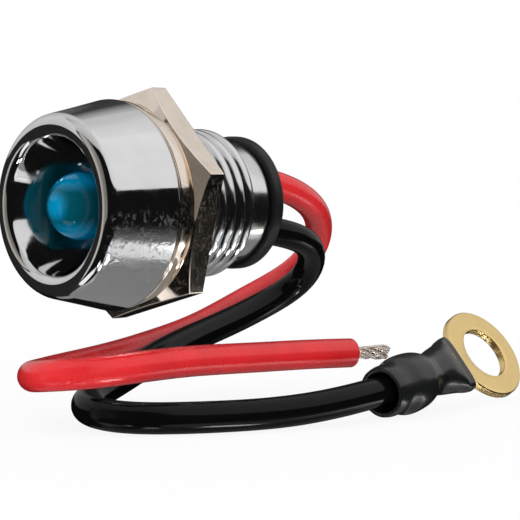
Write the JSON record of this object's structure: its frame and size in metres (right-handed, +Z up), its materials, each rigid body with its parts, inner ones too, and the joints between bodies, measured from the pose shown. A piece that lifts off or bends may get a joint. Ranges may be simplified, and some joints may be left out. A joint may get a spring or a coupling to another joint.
{
  "type": "panel pilot light",
  "caption": "Chromed bezel pilot light with a blue light-emitting diode in a reflector bowl, a washer and nut for a panel hole, and two short leads, one with a ring terminal",
  "frame": {"origin": "centre of the flat behind the head, on the lamp's axis, where the panel bears", "axes": "lamp axis along Y with the front facing -Y and the leads leaving towards +Y; Z is up and the leads hang below; X to the right seen from the front"},
  "size_m": [0.0255, 0.0438, 0.0258],
  "materials": {
    "chrome": "mirror bright plating",
    "nickel": "bright nickel plating, warm in tone",
    "lens": "clear blue-tinted epoxy, polished",
    "tinned": "tinned copper, dull",
    "bush": "moulded, matte",
    "resistor": "lacquered ceramic, matte",
    "solder": "solder, satin",
    "plug": "moulded black, satin",
    "red_pvc": "extruded red insulation, glossy",
    "black_pvc": "extruded black insulation, glossy",
    "shrink": "shrunk black tubing, satin",
    "brass": "stamped brass sheet, satin"
  },
  "bodies": {
    "lamp": {"bezel_body": "chrome", "diode_lens": "lens", "anode_lead": "tinned", "cathode_lead": "tinned", "insulating_bush": "bush", "resistor_body": "resistor", "resistor_front_wire": "tinned", "resistor_rear_wire": "tinned", "anode_solder": "solder", "red_lead_solder": "solder", "cathode_solder": "solder", "resistor_sleeve": "shrink", "cathode_sleeve": "shrink", "rear_plug": "plug", "red_lead": "red_pvc", "red_lead_core": "tinned", "black_lead": "black_pvc", "black_lead_core": "tinned", "ring_terminal": "brass", "terminal_sleeve": "shrink"},
    "washer": {"panel_washer": "nickel"},
    "nut": {"hex_nut": "nickel"}
  },
  "joints": [
    {"name": "nut_travel", "type": "slide", "parent": "lamp", "child": "washer", "axis": [0, 1, 0], "range_m": [0, 0.005]},
    {"name": "nut_spin", "type": "hinge", "parent": "washer", "child": "nut", "pos_m": [0, 0, 0], "axis": [0, 1, 0], "range_deg": [0, 1800]}
  ],
  "couplings": [
    {"joint": "nut_travel", "follows": "nut_spin", "m_per_rad": 0.00015915}
  ]
}
